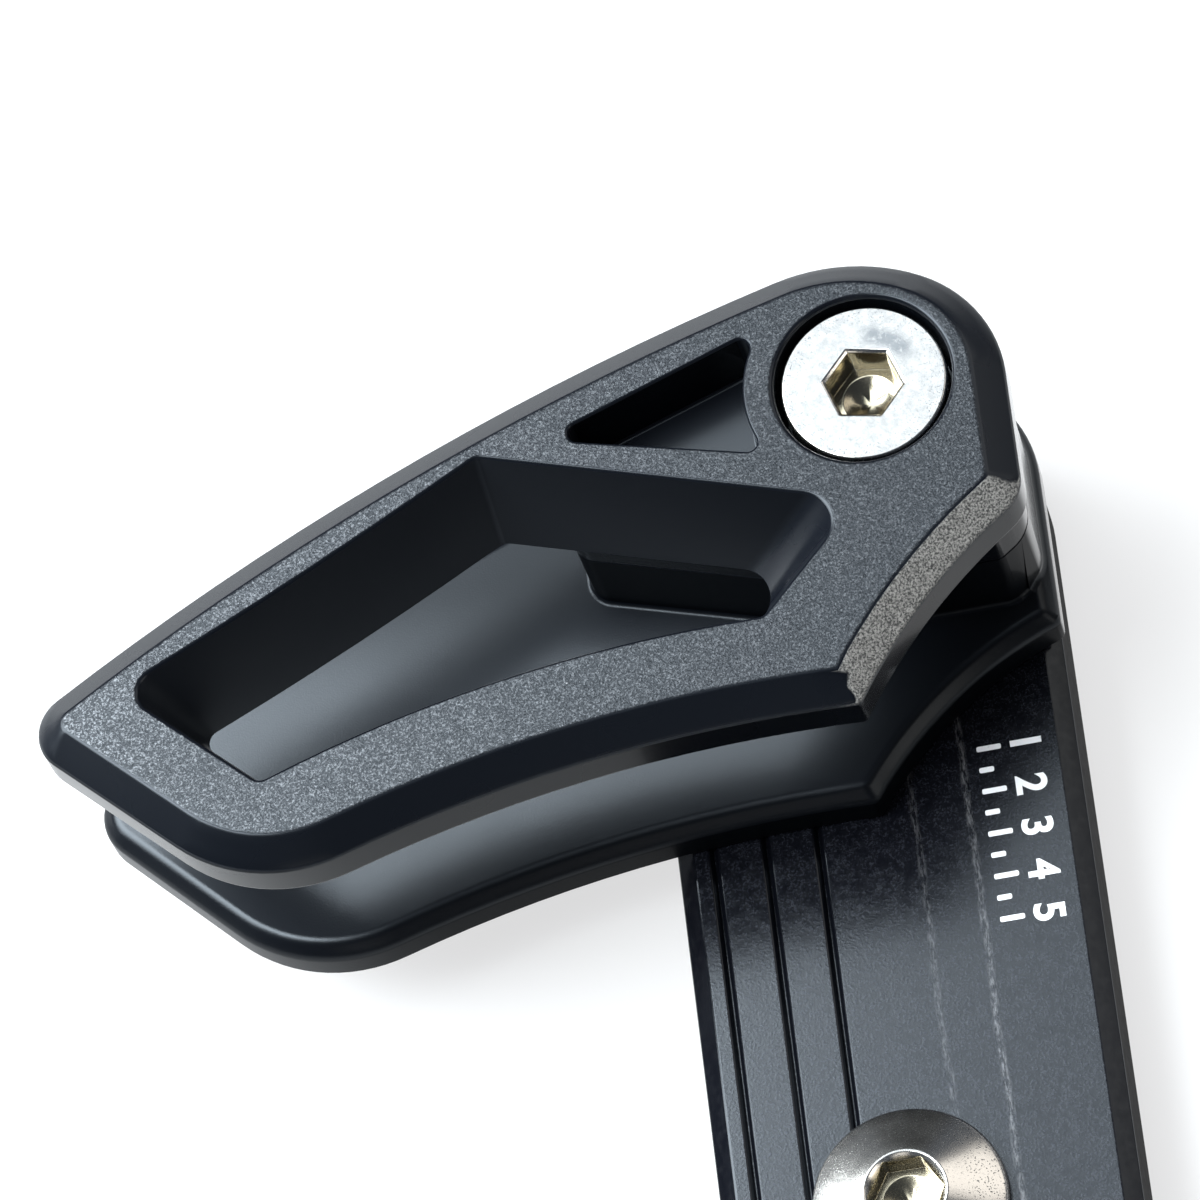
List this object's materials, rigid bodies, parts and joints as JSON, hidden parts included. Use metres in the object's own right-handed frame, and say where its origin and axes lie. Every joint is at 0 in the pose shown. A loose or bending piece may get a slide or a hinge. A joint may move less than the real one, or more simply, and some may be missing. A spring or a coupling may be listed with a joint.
{
  "type": "bicycle chain guide",
  "caption": "Bicycle chain guide with cheeks either side of the chain on an arm that slides on a slotted bracket, held by a clamp bolt, for mounting under a bottom bracket cup.",
  "frame": {"origin": "centre of the bracket's bore, on the bracket's back face, which seats on the bottom bracket shell", "axes": "+Z outboard along the bottom bracket's axis, +Y from that axis up the arm to the cheeks"},
  "size_m": [0.0682, 0.1166, 0.0253],
  "materials": {
    "black_anodised": "bead-blasted and black anodised",
    "black_nylon": "moulded glass-filled nylon, fine grain on the face, smooth bevels",
    "polished_steel": "polished steel",
    "plain_steel": "plain zinc-plated steel",
    "black_steel": "black oxide",
    "brass": "plain brass"
  },
  "bodies": {
    "bracket": {"bb_bracket": "black_anodised"},
    "slider": {"slide_arm": "black_anodised", "clamp_bolt": "polished_steel", "clamp_nut": "plain_steel", "inner_cheek": "black_nylon", "outer_cheek": "black_nylon", "cheek_bolt": "polished_steel", "rear_screw": "black_steel", "rear_insert": "brass"}
  },
  "joints": [
    {"name": "height_slide", "type": "slide", "parent": "bracket", "child": "slider", "axis": [0, 1, 0], "range_m": [-0.01009, 0.01009]}
  ]
}
